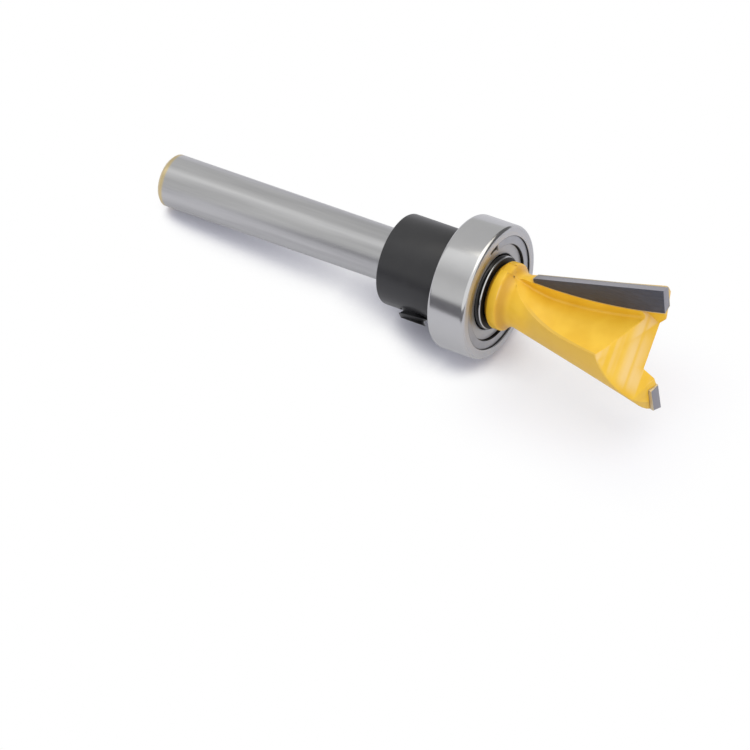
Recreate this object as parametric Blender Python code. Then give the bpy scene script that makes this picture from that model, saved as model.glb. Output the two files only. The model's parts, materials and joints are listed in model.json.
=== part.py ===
"""Dovetail router bit with a shank-mounted guide bearing.

One steel body carries a round shank, a shoulder hub, a short neck and a flared head with two
milled flutes. A carbide plate is brazed into a seat on each wing. A small shielded ball
bearing slides over the shank up to the hub, and a black lock collar with one grub screw
holds it there.

Everything is built along the tool's own axis: local +X runs from the end of the shank to the
tip, and local +Z points along the wing that stands up. The tool lies on the rear edge of its
bearing and on the end of its shank, so one empty tilts the whole tool by that angle.
"""

import math

import bmesh
import bpy
from mathutils import Matrix, Vector

MM = 0.001
DEG = math.pi / 180

# Shank, hub and neck
SHANK_DIAMETER = 6.35 * MM
SHANK_LENGTH = 45.1 * MM
SHANK_CHAMFER = 0.45 * MM
HUB_DIAMETER = 8.1 * MM
HUB_WIDTH = 1.5 * MM
HUB_CHAMFER = 0.55 * MM
NECK_DIAMETER = 6.4 * MM
NECK_FILLET = 1.8 * MM
NECK_LENGTH = 3.0 * MM

# Fluted head
CUTTING_DIAMETER = 16.15 * MM
CUTTING_LENGTH = 16.95 * MM
DOVETAIL_ANGLE = 14.0 * DEG
LAND_STEP = 0.2 * MM
HEEL_ANGLE = 10.9 * DEG
HEEL_START = 12.0 * DEG
HEEL_END = 38.0 * DEG
HEEL_LIMIT = 150.0 * DEG
BODY_END_SETBACK = 0.25 * MM
RAKE_OFFSET = 1.45 * MM
RAKE_SHEAR = 3.4 * DEG
FLUTE_DEPTH_HEIGHT = 1.4 * MM
FLUTE_DEEPEST = 13.25 * MM
FLUTE_RADIUS = 38.0 * MM
FLUTE_RUNOUT_RADIUS = 10.5 * MM
FLUTE_RUNOUT_SWEEP = 68.4 * DEG
FLUTE_CORNER_RADIUS = 0.3 * MM
FLUTE_SKEW = 22.0 * DEG
GASH_ROLL = 39.6 * DEG
GASH_SLOPE = 42.0 * DEG
GASH_RIDGE_SETBACK = 1.35 * MM
GASH_REACH = 2.75 * MM
GASH_WALL_TURN = 26.0 * DEG
BACK_RELIEF = 17.0 * DEG
BACK_RELIEF_DROP = 0.45 * MM

# Carbide plates
CARBIDE_THICKNESS = 1.3 * MM
CARBIDE_LENGTH = 16.95 * MM
CARBIDE_WIDTH = 3.5 * MM
CARBIDE_INNER_RADIUS = 50.0 * MM
CARBIDE_INNER_CENTRE = 12.05 * MM
CARBIDE_CORNER = 0.35 * MM
CARBIDE_CORNER_SWEEP = 72.0 * DEG
FLANK_ANGLE = 24.0 * DEG
END_DISH = 1.5 * DEG
END_RELIEF = 3.0 * DEG
BRAZE_GAP = 0.1 * MM
SEAT_OVERCUT = 0.15 * MM

# Guide bearing
BEARING_OUTER_DIAMETER = 16.15 * MM
BEARING_WIDTH = 5.0 * MM
BEARING_SEAT_GAP = 0.1 * MM
SHANK_FIT = 0.05 * MM
OUTER_ROUNDING = 0.5 * MM
BALL_DIAMETER = 2.38 * MM
BALL_COUNT = 8
SHOULDER_OFFSET = 0.85 * MM
SHIELD_STEP = 0.35 * MM
RACE_CLEARANCE = 0.06 * MM
SNAP_RING_RECESS = 0.2 * MM
SNAP_RING_THICKNESS = 0.3 * MM
SNAP_RING_WIDTH = 1.3 * MM
SNAP_RING_GROOVE_DEPTH = 0.35 * MM
SNAP_RING_GAP = 14.0 * DEG
SNAP_RING_GAP_PLACE = 73.0 * DEG
SHIELD_THICKNESS = 0.25 * MM
SHIELD_RUNNING_GAP = 0.1 * MM
PIECE_GAP = 0.05 * MM
CAGE_THICKNESS = 0.9 * MM
CAGE_BACK = 0.3 * MM
CAGE_PRONG = 0.6 * MM
POCKET_CLEARANCE = 0.12 * MM

# Lock collar and its grub screw
COLLAR_DIAMETER = 11.0 * MM
COLLAR_LENGTH = 8.1 * MM
COLLAR_CHAMFER = 0.25 * MM
COLLAR_FIT = 0.05 * MM
COLLAR_GAP = 0.25 * MM
SCREW_DIAMETER = 3.5 * MM
SCREW_PROUD = 0.9 * MM
SCREW_POINT_GAP = 0.1 * MM
SCREW_THREAD_GAP = 0.08 * MM
SCREW_CHAMFER = 0.3 * MM
SCREW_ANGLE = 219.6 * DEG
SOCKET_ACROSS_FLATS = 1.6 * MM
SOCKET_DEPTH = 1.3 * MM

# Facets
SHANK_STEPS = 28
ROUND_STEPS = 64
RING_STEPS = 64
CAGE_STEPS = 48
SNAP_RING_STEPS = 56
SCREW_STEPS = 24
CONE_STEPS = 6
FILLET_STEPS = 8
FLUTE_STEPS = 14
FLUTE_RUNOUT_STEPS = 12
FLUTE_CORNER_STEPS = 3
CARBIDE_EDGE_STEPS = 16
CARBIDE_CORNER_STEPS = 4
RACE_STEPS = 8
ROUNDING_STEPS = 5
BALL_SEGMENTS = 14
POCKET_SEGMENTS = 16
BALL_RINGS = 8
SHARP_ANGLE = 32.0 * DEG
BALL_SHARP_ANGLE = 80.0 * DEG

# Distances under which two points count as one, or as lying on a plane
SAME_POINT = 0.001 * MM
SAME_PLANE = 0.0001 * MM
ON_SIDE = 0.01 * MM

# Places along the axis
HUB_FRONT = SHANK_LENGTH + HUB_WIDTH
TIP = HUB_FRONT + NECK_LENGTH + CUTTING_LENGTH
BEARING_FRONT = SHANK_LENGTH - BEARING_SEAT_GAP
BEARING_MIDDLE = BEARING_FRONT - BEARING_WIDTH / 2
BEARING_REAR = BEARING_FRONT - BEARING_WIDTH
COLLAR_FRONT = BEARING_REAR - COLLAR_GAP
COLLAR_MIDDLE = COLLAR_FRONT - COLLAR_LENGTH / 2

# Radii of the bearing; its balls run midway between the bore and the outside
BALL_PITCH_RADIUS = (BEARING_OUTER_DIAMETER + SHANK_DIAMETER) / 4
OUTER_SHOULDER_RADIUS = BALL_PITCH_RADIUS + SHOULDER_OFFSET
INNER_SHOULDER_RADIUS = BALL_PITCH_RADIUS - SHOULDER_OFFSET
FACE_BORE_RADIUS = OUTER_SHOULDER_RADIUS + SHIELD_STEP
INNER_FACE_RADIUS = INNER_SHOULDER_RADIUS - SHIELD_STEP
SNAP_GROOVE_RADIUS = FACE_BORE_RADIUS + SNAP_RING_GROOVE_DEPTH

# Places across the bearing, from its middle plane
HALF_WIDTH = BEARING_WIDTH / 2
SNAP_OUTSIDE = HALF_WIDTH - SNAP_RING_RECESS
SNAP_INSIDE = SNAP_OUTSIDE - SNAP_RING_THICKNESS
SHIELD_OUTSIDE = SNAP_INSIDE - PIECE_GAP
SHIELD_INSIDE = SHIELD_OUTSIDE - SHIELD_THICKNESS
SHIELD_SEAT = SHIELD_INSIDE - PIECE_GAP


def cutting_radius(x):
    """Radius of the cutting circle at a place along the axis."""
    return CUTTING_DIAMETER / 2 - (TIP - x) * math.tan(DOVETAIL_ANGLE)


def rest_tilt():
    """Angle at which the bearing's rear edge and the shank's end touch one plane."""
    rise = BEARING_OUTER_DIAMETER / 2 - OUTER_ROUNDING - SHANK_DIAMETER / 2
    run = BEARING_REAR + OUTER_ROUNDING - SHANK_CHAMFER
    return math.acos(-OUTER_ROUNDING / math.hypot(rise, run)) - math.atan2(run, rise)


def arc(centre, radius, start, end, steps):
    """Points on an arc, as (along, across) pairs, with both ends."""
    points = []
    for step in range(steps + 1):
        angle = start + (end - start) * step / steps
        points.append((centre[0] + radius * math.cos(angle), centre[1] + radius * math.sin(angle)))
    return points


def material(name, colour, roughness, metallic):
    """Principled material with a plain colour."""
    new = bpy.data.materials.new(name)
    new.use_nodes = True
    shader = new.node_tree.nodes["Principled BSDF"]
    shader.inputs["Base Color"].default_value = (*colour, 1.0)
    shader.inputs["Roughness"].default_value = roughness
    shader.inputs["Metallic"].default_value = metallic
    return new


def add_object(name, mesh_maker, finish, place=Matrix.Identity(4)):
    """Object from a bmesh, parented to the tool's axis."""
    mesh = bpy.data.meshes.new(name)
    mesh_maker.to_mesh(mesh)
    mesh_maker.free()
    if finish is not None:
        mesh.materials.append(finish)
    made = bpy.data.objects.new(name, mesh)
    bpy.context.scene.collection.objects.link(made)
    made.parent = tool_axis
    made.matrix_local = place
    return made


def shade_round(made, limit=SHARP_ANGLE):
    """Smooth shading, with edges left sharp past an angle."""
    made.data.shade_smooth()
    made.data.set_sharp_from_angle(angle=limit)


def combine(made, guide, operation="DIFFERENCE"):
    """Boolean with an object that is kept as a wire guide."""
    guide.hide_render = True
    guide.display_type = "WIRE"
    modifier = made.modifiers.new(guide.name, "BOOLEAN")
    modifier.operation = operation
    modifier.solver = "EXACT"
    modifier.object = guide


def spin_profile(profile, steps, closed):
    """Turn a profile of (along, radius) points about local X.

    The first point starts half a facet from straight down, so that a flat lies underneath.
    A closed profile makes a ring; an open one starts and ends on the axis.
    """
    turned = bmesh.new()
    half_step = math.pi / steps
    points = []
    for along, radius in profile:
        across = radius * math.sin(half_step)
        points.append(turned.verts.new((along, across, -radius * math.cos(half_step))))
    edges = [turned.edges.new(pair) for pair in zip(points, points[1:])]
    if closed:
        edges.append(turned.edges.new((points[-1], points[0])))
    bmesh.ops.spin(
        turned,
        geom=points + edges,
        axis=(1, 0, 0),
        cent=(0, 0, 0),
        steps=steps,
        angle=2 * math.pi,
    )
    bmesh.ops.remove_doubles(turned, verts=turned.verts, dist=SAME_POINT)
    bmesh.ops.recalc_face_normals(turned, faces=turned.faces)
    return turned


def extrude_outline(outline, low, high):
    """Solid from an outline in the X-Z plane, between two heights along Y."""
    solid = bmesh.new()
    corners = [solid.verts.new((along, low, up)) for along, up in outline]
    face = solid.faces.new(corners)
    result = bmesh.ops.extrude_face_region(solid, geom=[face])
    moved = [item for item in result["geom"] if isinstance(item, bmesh.types.BMVert)]
    bmesh.ops.translate(solid, verts=moved, vec=(0, high - low, 0))
    bmesh.ops.recalc_face_normals(solid, faces=solid.faces)
    return solid


def box(low, high):
    """Solid box between two corners."""
    solid = bmesh.new()
    bmesh.ops.create_cube(solid, size=1.0)
    for corner in solid.verts:
        for axis in range(3):
            corner.co[axis] = high[axis] if corner.co[axis] > 0 else low[axis]
    return solid


def grind_flat(solid, point, normal):
    """Remove what lies past a plane and close the new flat."""
    geometry = list(solid.verts) + list(solid.edges) + list(solid.faces)
    result = bmesh.ops.bisect_plane(
        solid,
        geom=geometry,
        plane_co=point,
        plane_no=normal,
        clear_outer=True,
        dist=SAME_PLANE,
    )
    open_edges = [item for item in result["geom_cut"] if isinstance(item, bmesh.types.BMEdge)]
    bmesh.ops.holes_fill(solid, edges=open_edges)
    bmesh.ops.recalc_face_normals(solid, faces=solid.faces)


# The scene starts empty.
for leftover in list(bpy.data.objects):
    bpy.data.objects.remove(leftover)

# The tool's axis, tilted to the pose in which it lies.
tool_axis = bpy.data.objects.new("tool_axis", None)
bpy.context.scene.collection.objects.link(tool_axis)
tool_axis.rotation_euler = (0, -rest_tilt(), 0)

PAINTED_STEEL = material("painted_steel", (0.85, 0.53, 0.05), 0.35, 0.0)
CARBIDE = material("carbide", (0.12, 0.12, 0.13), 0.4, 0.9)
POLISHED_STEEL = material("polished_steel", (0.62, 0.62, 0.62), 0.18, 1.0)
SHIELD_STEEL = material("shield_steel", (0.42, 0.42, 0.43), 0.35, 1.0)
CAGE_STEEL = material("cage_steel", (0.5, 0.45, 0.36), 0.4, 1.0)
BLACK_OXIDE = material("black_oxide", (0.03, 0.03, 0.032), 0.45, 0.6)


def wing_frame():
    """Frame of one wing: its X-Z plane is the rake face, with the corner of the tip at X = 0."""
    return Matrix.Translation((TIP, RAKE_OFFSET, 0)) @ Matrix.Rotation(RAKE_SHEAR, 4, "Z")


def half_turn(side):
    """Turn about the axis that takes the first wing to the other one."""
    return Matrix.Rotation(math.pi * side, 4, "X")


def wing_height(along):
    """Height of the cutting edge above the axis, at a place in the wing's frame."""
    in_tool = wing_frame() @ Vector((along, 0, 0))
    return math.sqrt(cutting_radius(in_tool.x) ** 2 - in_tool.y**2)


def shank_bar():
    """Shank with its end chamfered, run on to the middle of the hub.

    It has wider facets than the head, so that the tool settles on one of its flats.
    """
    radius = SHANK_DIAMETER / 2
    inner_end = SHANK_LENGTH + HUB_WIDTH / 2
    profile = [
        (0, 0),
        (0, radius - SHANK_CHAMFER),
        (SHANK_CHAMFER, radius),
        (inner_end, radius),
        (inner_end, 0),
    ]
    return spin_profile(profile, SHANK_STEPS, closed=False)


def head_blank():
    """Turned hub, neck and head, with the cone behind each wing's edge ground away.

    The cone's half angle falls from the dovetail angle, just behind a cutting edge, to the
    heel angle, so the land keeps clear of the cut.
    """
    hub = HUB_DIAMETER / 2
    neck = NECK_DIAMETER / 2
    fillet_height = NECK_FILLET - (hub - neck)
    fillet_reach = math.sqrt(NECK_FILLET**2 - fillet_height**2)
    fillet_centre = (HUB_FRONT + fillet_reach, neck + NECK_FILLET)
    start = math.atan2(-fillet_height, -fillet_reach) + 2 * math.pi
    profile = [
        (SHANK_LENGTH, 0),
        (SHANK_LENGTH, hub - HUB_CHAMFER),
        (SHANK_LENGTH + HUB_CHAMFER, hub),
    ]
    profile += arc(fillet_centre, NECK_FILLET, start, 1.5 * math.pi, FILLET_STEPS)
    cone_start = profile[-1]
    end = TIP - BODY_END_SETBACK
    for step in range(1, CONE_STEPS + 1):
        profile.append((cone_start[0] + (end - cone_start[0]) * step / CONE_STEPS, cone_start[1]))
    profile.append((end, 0))
    blank = spin_profile(profile, ROUND_STEPS, closed=False)
    tip_land = CUTTING_DIAMETER / 2 - LAND_STEP
    land_slope = (tip_land - cone_start[1]) / (end - cone_start[0])
    heel_slope = land_slope - math.tan(DOVETAIL_ANGLE) + math.tan(HEEL_ANGLE)
    edge_angle = math.atan2(wing_height(0), RAKE_OFFSET)
    for corner in blank.verts:
        radius = math.hypot(corner.co.y, corner.co.z)
        if corner.co.x <= cone_start[0] or radius < neck / 2:
            continue
        behind = (edge_angle - math.atan2(corner.co.z, corner.co.y)) % math.pi
        share = min(max((behind - HEEL_START) / (HEEL_END - HEEL_START), 0), 1)
        if behind > HEEL_LIMIT:
            share = 0
        slope = land_slope + (heel_slope - land_slope) * share
        grown = (cone_start[1] + (corner.co.x - cone_start[0]) * slope) / radius
        corner.co.y *= grown
        corner.co.z *= grown
    return blank


def flute_cutter():
    """Form of the milling wheel that cuts a flute, in the wing's frame.

    The side of the wheel leaves the ledge under the carbide, in the plane of the rake face,
    and its rim leaves the floor, which sinks from the neck and rises towards the tip.
    """
    reach = CUTTING_DIAMETER
    deepest = -FLUTE_DEEPEST
    front_sweep = math.asin((FLUTE_DEEPEST + NECK_LENGTH) / FLUTE_RADIUS)
    front = arc(
        (deepest, FLUTE_DEPTH_HEIGHT + FLUTE_RADIUS),
        FLUTE_RADIUS,
        1.5 * math.pi + front_sweep,
        1.5 * math.pi,
        FLUTE_STEPS,
    )
    runout = arc(
        (deepest, FLUTE_DEPTH_HEIGHT + FLUTE_RUNOUT_RADIUS),
        FLUTE_RUNOUT_RADIUS,
        1.5 * math.pi,
        1.5 * math.pi - FLUTE_RUNOUT_SWEEP,
        FLUTE_RUNOUT_STEPS,
    )
    outline = front + runout[1:] + [(runout[-1][0], reach), (front[0][0], reach)]
    wheel = extrude_outline(outline, -reach, 0)
    floor_edges = []
    for edge in wheel.edges:
        middle = (edge.verts[0].co + edge.verts[1].co) / 2
        on_side = all(abs(corner.co.y) < ON_SIDE for corner in edge.verts)
        if on_side and middle.z < reach / 2 and len(edge.link_faces) == 2:
            if abs(edge.verts[0].co.x - edge.verts[1].co.x) > ON_SIDE:
                floor_edges.append(edge)
    bmesh.ops.bevel(
        wheel,
        geom=floor_edges,
        offset=FLUTE_CORNER_RADIUS,
        segments=FLUTE_CORNER_STEPS,
        profile=0.5,
        affect="EDGES",
    )
    for corner in wheel.verts:
        corner.co.x -= corner.co.y * math.tan(FLUTE_SKEW)
    bmesh.ops.recalc_face_normals(wheel, faces=wheel.faces)
    return wheel


def carbide_inner_arc(start, end, gap):
    """Inner edge of the carbide plate, or of its seat when a gap is given."""
    radius = CARBIDE_INNER_RADIUS + gap
    rise = math.sqrt(CARBIDE_INNER_RADIUS**2 - CARBIDE_INNER_CENTRE**2)
    centre = (-CARBIDE_INNER_CENTRE, wing_height(0) - CARBIDE_WIDTH + rise)
    first = math.asin((start + CARBIDE_INNER_CENTRE) / radius)
    last = math.asin((end + CARBIDE_INNER_CENTRE) / radius)
    return arc(centre, radius, 1.5 * math.pi + first, 1.5 * math.pi + last, CARBIDE_EDGE_STEPS)


def seat_cutter():
    """Form of the wheel that mills a carbide seat; its run-out nicks the rim of the hub."""
    reach = CUTTING_DIAMETER
    front = NECK_LENGTH
    rear = -CUTTING_LENGTH - NECK_LENGTH - HUB_WIDTH
    floor = carbide_inner_arc(rear, front, BRAZE_GAP)
    outline = floor + [(front, reach), (rear, reach)]
    return extrude_outline(outline, -SEAT_OVERCUT, CARBIDE_THICKNESS + BRAZE_GAP)


def carbide_plate():
    """Carbide plate in the wing's frame, with its ground flank and end."""
    rear = -CARBIDE_LENGTH
    reach = 0.6 * CUTTING_DIAMETER
    inner = carbide_inner_arc(rear, NECK_LENGTH, 0)
    top_rear = wing_height(rear) + CARBIDE_CORNER / 2
    corner_centre = (rear + CARBIDE_CORNER, top_rear - CARBIDE_CORNER)
    corner_start = math.pi - CARBIDE_CORNER_SWEEP
    rounded = arc(corner_centre, CARBIDE_CORNER, corner_start, math.pi, CARBIDE_CORNER_STEPS)
    outline = inner + [(NECK_LENGTH, reach)] + rounded
    plate = extrude_outline(outline, 0, CARBIDE_THICKNESS)
    tip_height = wing_height(0)
    edge_slope = (tip_height - wing_height(rear)) / CARBIDE_LENGTH
    flank_normal = Vector((-edge_slope, math.tan(FLANK_ANGLE), 1))
    grind_flat(plate, (0, 0, tip_height), flank_normal)
    end_normal = Vector((1, math.tan(END_RELIEF), -math.tan(END_DISH)))
    grind_flat(plate, (0, 0, tip_height), end_normal)
    bmesh.ops.remove_doubles(plate, verts=plate.verts, dist=SAME_POINT)
    return plate


def gash_cutter():
    """Form of the wheel that cuts across the end, in its own frame.

    The frame's Y runs along the ridge that the two cuts leave between them. The slanted face
    passes through that ridge, and the wheel's side stops just short of the rake face.
    """
    reach = CUTTING_DIAMETER
    wheel = box((-reach, -reach, -reach), (reach, reach, reach))
    grind_flat(wheel, (0, 0, 0), (-1, 0, -math.tan(GASH_SLOPE)))
    grind_flat(wheel, (0, GASH_REACH, 0), (0, 1, -math.tan(GASH_WALL_TURN)))
    return wheel


def back_relief_cutter():
    """Form of the wheel that drops the steel behind the end of a carbide, in the wing's frame."""
    reach = CUTTING_DIAMETER
    wheel = box((-reach, 0, 0), (reach, reach, reach))
    edge = (-BACK_RELIEF_DROP, CARBIDE_THICKNESS, 0)
    grind_flat(wheel, edge, (-1, -math.tan(BACK_RELIEF), 0))
    return wheel


def add_cutter_body():
    """Shank, hub, neck and fluted head, one piece of steel."""
    body = add_object("cutter_body", head_blank(), PAINTED_STEEL)
    combine(body, add_object("shank_bar", shank_bar(), None), "UNION")
    ridge = Matrix.Translation((TIP - GASH_RIDGE_SETBACK, 0, 0)) @ Matrix.Rotation(GASH_ROLL, 4, "X")
    for side in (0, 1):
        letter = "ab"[side]
        on_wing = half_turn(side) @ wing_frame()
        combine(body, add_object("flute_cutter_" + letter, flute_cutter(), None, on_wing))
        combine(body, add_object("seat_cutter_" + letter, seat_cutter(), None, on_wing))
        combine(body, add_object("gash_cutter_" + letter, gash_cutter(), None, half_turn(side) @ ridge))
        combine(body, add_object("relief_cutter_" + letter, back_relief_cutter(), None, on_wing))
    shade_round(body)
    return body


def add_carbide_tips():
    """Two carbide plates, each the other turned half round."""
    for side in (0, 1):
        place = half_turn(side) @ wing_frame()
        add_object("carbide_tip_" + "ab"[side], carbide_plate(), CARBIDE, place)


def race_arc(side, shoulder):
    """Points of a ball race from the rear to the front, on the outer side (1) or inner (-1)."""
    radius = BALL_DIAMETER / 2 + RACE_CLEARANCE
    opening = math.acos(abs(shoulder - BALL_PITCH_RADIUS) / radius)
    middle = side * math.pi / 2
    start = middle + side * opening
    end = middle - side * opening
    return arc((0, BALL_PITCH_RADIUS), radius, start, end, RACE_STEPS)


def mirrored_profile(half):
    """Closed ring profile from its rear half, which runs from the outside to the inside."""
    return half + [(-along, radius) for along, radius in reversed(half)]


def add_inner_ring(place):
    """Inner ring, which sits still on the shank."""
    bore = SHANK_DIAMETER / 2 + SHANK_FIT
    face = INNER_FACE_RADIUS
    shoulder = INNER_SHOULDER_RADIUS
    chamfer = OUTER_ROUNDING / 2
    step = SHIELD_INSIDE - PIECE_GAP
    profile = [
        (-HALF_WIDTH, bore + chamfer),
        (-HALF_WIDTH, face - chamfer / 2),
        (-HALF_WIDTH + chamfer / 2, face),
        (-step, face),
        (-step, shoulder),
    ]
    profile += race_arc(-1, shoulder)
    profile += [
        (step, shoulder),
        (step, face),
        (HALF_WIDTH - chamfer / 2, face),
        (HALF_WIDTH, face - chamfer / 2),
        (HALF_WIDTH, bore + chamfer),
        (HALF_WIDTH - chamfer, bore),
        (-HALF_WIDTH + chamfer, bore),
    ]
    ring = add_object("inner_ring", spin_profile(profile, RING_STEPS, closed=True), POLISHED_STEEL, place)
    shade_round(ring)


def add_outer_ring(place):
    """Outer ring, which turns and runs along the guide."""
    outside = BEARING_OUTER_DIAMETER / 2
    bore = FACE_BORE_RADIUS
    groove = SNAP_GROOVE_RADIUS
    shoulder = OUTER_SHOULDER_RADIUS
    corner = (-HALF_WIDTH + OUTER_ROUNDING, outside - OUTER_ROUNDING)
    half = arc(corner, OUTER_ROUNDING, math.pi / 2, math.pi, ROUNDING_STEPS)
    half += [
        (-HALF_WIDTH, bore + PIECE_GAP),
        (-HALF_WIDTH + PIECE_GAP, bore),
        (-SNAP_OUTSIDE - PIECE_GAP, bore),
        (-SNAP_OUTSIDE - PIECE_GAP, groove),
        (-SNAP_INSIDE + PIECE_GAP / 2, groove),
        (-SNAP_INSIDE + PIECE_GAP / 2, bore),
        (-SHIELD_SEAT, bore),
        (-SHIELD_SEAT, shoulder),
    ]
    race_points = race_arc(1, shoulder)
    profile = half + race_points + [(-along, radius) for along, radius in reversed(half)]
    ring = add_object("outer_ring", spin_profile(profile, RING_STEPS, closed=True), POLISHED_STEEL, place)
    shade_round(ring)


def add_balls(place):
    """Ball set, one object for each ball."""
    for number in range(BALL_COUNT):
        ball = bmesh.new()
        bmesh.ops.create_uvsphere(
            ball,
            u_segments=BALL_SEGMENTS,
            v_segments=BALL_RINGS,
            radius=BALL_DIAMETER / 2,
        )
        around = Matrix.Rotation(2 * math.pi * number / BALL_COUNT, 4, "X")
        seat = place @ around @ Matrix.Translation((0, 0, BALL_PITCH_RADIUS))
        made = add_object("ball_%d" % (number + 1), ball, POLISHED_STEEL, seat)
        shade_round(made, BALL_SHARP_ANGLE)


def add_cage(place):
    """Crown cage: one ring beside the balls, with prongs that reach in between them."""
    inner = BALL_PITCH_RADIUS - CAGE_THICKNESS / 2
    outer = BALL_PITCH_RADIUS + CAGE_THICKNESS / 2
    back = -BALL_DIAMETER / 2 - CAGE_BACK
    profile = [(back, outer), (back, inner), (CAGE_PRONG, inner), (CAGE_PRONG, outer)]
    cage = add_object("cage", spin_profile(profile, CAGE_STEPS, closed=True), CAGE_STEEL, place)
    pockets = bmesh.new()
    for number in range(BALL_COUNT):
        around = Matrix.Rotation(2 * math.pi * number / BALL_COUNT, 4, "X")
        centre = around @ Matrix.Translation((0, 0, BALL_PITCH_RADIUS))
        bmesh.ops.create_uvsphere(
            pockets,
            u_segments=POCKET_SEGMENTS,
            v_segments=BALL_RINGS,
            radius=BALL_DIAMETER / 2 + POCKET_CLEARANCE,
            matrix=centre,
        )
    combine(cage, add_object("pocket_cutter", pockets, None, place))
    shade_round(cage)


def add_shields(place):
    """Thin metal shield on each side, seated on a step of the outer ring."""
    outside = FACE_BORE_RADIUS - PIECE_GAP
    inside = INNER_FACE_RADIUS + SHIELD_RUNNING_GAP
    for name, sign in (("shield_rear", -1), ("shield_front", 1)):
        profile = [
            (sign * SHIELD_OUTSIDE, outside),
            (sign * SHIELD_OUTSIDE, inside),
            (sign * SHIELD_INSIDE, inside),
            (sign * SHIELD_INSIDE, outside),
        ]
        shield = add_object(name, spin_profile(profile, RING_STEPS, closed=True), SHIELD_STEEL, place)
        shade_round(shield)


def add_snap_rings(place):
    """Open wire ring in the groove of each side, which holds the shield."""
    outside = SNAP_GROOVE_RADIUS - PIECE_GAP
    inside = outside - SNAP_RING_WIDTH
    for name, sign in (("snap_ring_rear", -1), ("snap_ring_front", 1)):
        ring = bmesh.new()
        corners = []
        for along in (SNAP_INSIDE, SNAP_OUTSIDE):
            for radius in (inside, outside):
                corners.append((sign * along, radius))
        order = [corners[0], corners[1], corners[3], corners[2]]
        points = [ring.verts.new((along, radius, 0)) for along, radius in order]
        face = ring.faces.new(points)
        sweep = 2 * math.pi - SNAP_RING_GAP
        bmesh.ops.spin(
            ring,
            geom=[face] + list(face.edges) + points,
            axis=(1, 0, 0),
            cent=(0, 0, 0),
            steps=SNAP_RING_STEPS,
            angle=sweep,
        )
        bmesh.ops.remove_doubles(ring, verts=ring.verts, dist=SAME_POINT)
        bmesh.ops.recalc_face_normals(ring, faces=ring.faces)
        opening = Matrix.Rotation(SNAP_RING_GAP_PLACE + SNAP_RING_GAP / 2, 4, "X")
        made = add_object(name, ring, SHIELD_STEEL, place @ opening)
        shade_round(made)


def add_lock_collar():
    """Black collar that clamps on the shank behind the bearing, with one tapped hole."""
    outside = COLLAR_DIAMETER / 2
    bore = SHANK_DIAMETER / 2 + COLLAR_FIT
    end = COLLAR_LENGTH / 2
    half = [
        (-end + COLLAR_CHAMFER, bore),
        (-end, bore + COLLAR_CHAMFER),
        (-end, outside - COLLAR_CHAMFER),
        (-end + COLLAR_CHAMFER, outside),
    ]
    place = Matrix.Translation((COLLAR_MIDDLE, 0, 0))
    collar = add_object(
        "lock_collar", spin_profile(mirrored_profile(half), RING_STEPS, closed=True), BLACK_OXIDE, place
    )
    hole = bmesh.new()
    radius = SCREW_DIAMETER / 2 + SCREW_THREAD_GAP
    bmesh.ops.create_cone(
        hole,
        cap_ends=True,
        segments=SCREW_STEPS,
        radius1=radius,
        radius2=radius,
        depth=COLLAR_DIAMETER,
        matrix=Matrix.Translation((0, 0, COLLAR_DIAMETER / 2)),
    )
    combine(collar, add_object("tapped_hole_cutter", hole, None, place @ screw_turn()))
    shade_round(collar)


def screw_turn():
    """Turn that points the screw's own Z out of the collar."""
    return Matrix.Rotation(SCREW_ANGLE - math.pi / 2, 4, "X")


def add_set_screw():
    """Grub screw with a cup point on the shank and a hexagon socket at its outer end."""
    radius = SCREW_DIAMETER / 2
    low = SHANK_DIAMETER / 2 + SCREW_POINT_GAP
    high = COLLAR_DIAMETER / 2 + SCREW_PROUD
    screw = bmesh.new()
    rings = [
        (low, radius - SCREW_CHAMFER),
        (low + SCREW_CHAMFER, radius),
        (high - SCREW_CHAMFER, radius),
        (high, radius - SCREW_CHAMFER),
    ]
    loops = []
    for height, across in rings:
        loop = []
        for step in range(SCREW_STEPS):
            angle = 2 * math.pi * step / SCREW_STEPS
            loop.append(screw.verts.new((across * math.cos(angle), across * math.sin(angle), height)))
        loops.append(loop)
    for lower, upper in zip(loops, loops[1:]):
        for step in range(SCREW_STEPS):
            following = (step + 1) % SCREW_STEPS
            screw.faces.new((lower[step], lower[following], upper[following], upper[step]))
    screw.faces.new(list(reversed(loops[0])))
    screw.faces.new(loops[-1])
    bmesh.ops.recalc_face_normals(screw, faces=screw.faces)
    place = Matrix.Translation((COLLAR_MIDDLE, 0, 0)) @ screw_turn()
    made = add_object("set_screw", screw, BLACK_OXIDE, place)
    socket = bmesh.new()
    corner_radius = SOCKET_ACROSS_FLATS / math.sqrt(3)
    bmesh.ops.create_cone(
        socket,
        cap_ends=True,
        segments=6,
        radius1=corner_radius,
        radius2=corner_radius,
        depth=2 * SOCKET_DEPTH,
        matrix=Matrix.Translation((0, 0, high)),
    )
    combine(made, add_object("socket_cutter", socket, None, place))
    shade_round(made)


def settle():
    """Lower the tool on the plane z = 0, with the middle of its box over the origin."""
    bpy.context.view_layer.update()
    graph = bpy.context.evaluated_depsgraph_get()
    corners = []
    for made in bpy.data.objects:
        if made.type != "MESH" or made.hide_render:
            continue
        shown = made.evaluated_get(graph)
        corners += [shown.matrix_world @ corner.co for corner in shown.data.vertices]
    low = [min(corner[axis] for corner in corners) for axis in range(3)]
    high = [max(corner[axis] for corner in corners) for axis in range(3)]
    tool_axis.location = (-(low[0] + high[0]) / 2, -(low[1] + high[1]) / 2, -low[2])


bearing_place = Matrix.Translation((BEARING_MIDDLE, 0, 0))
add_cutter_body()
add_carbide_tips()
add_inner_ring(bearing_place)
add_outer_ring(bearing_place)
add_balls(bearing_place)
add_cage(bearing_place)
add_shields(bearing_place)
add_snap_rings(bearing_place)
add_lock_collar()
add_set_screw()
settle()
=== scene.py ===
import json
import math

import bpy
from mathutils import Matrix, Vector


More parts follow.
